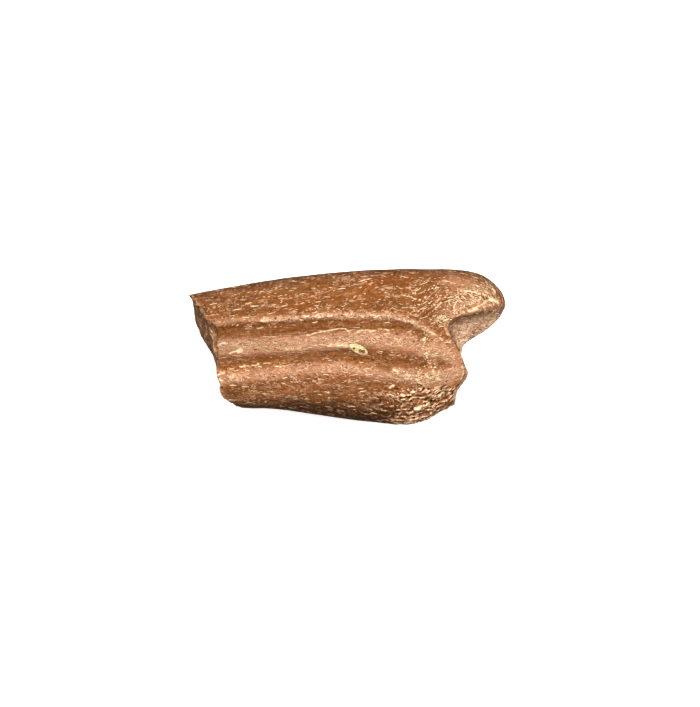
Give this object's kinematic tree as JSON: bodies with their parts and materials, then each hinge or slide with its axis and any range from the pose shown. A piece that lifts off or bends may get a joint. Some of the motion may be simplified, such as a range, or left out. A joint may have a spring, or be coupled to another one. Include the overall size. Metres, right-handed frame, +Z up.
{
  "type": "dinosaur claw fossil",
  "caption": "Petrified butt end of a claw bone lying on its side: a snapped tip end, grooves along the sides, and a hollowed joint face under a standing lip.",
  "frame": {"origin": "middle of the bottom of the bounding box, on the surface that the fossil lies on", "axes": "+X from the snapped tip end to the joint end, +Y from the belly edge to the back edge, +Z up"},
  "size_m": [0.0482, 0.0236, 0.0149],
  "materials": {
    "fossil_bone": "satin, porous, worn along its crests"
  },
  "bodies": {
    "root": {"claw": "fossil_bone"}
  },
  "joints": []
}
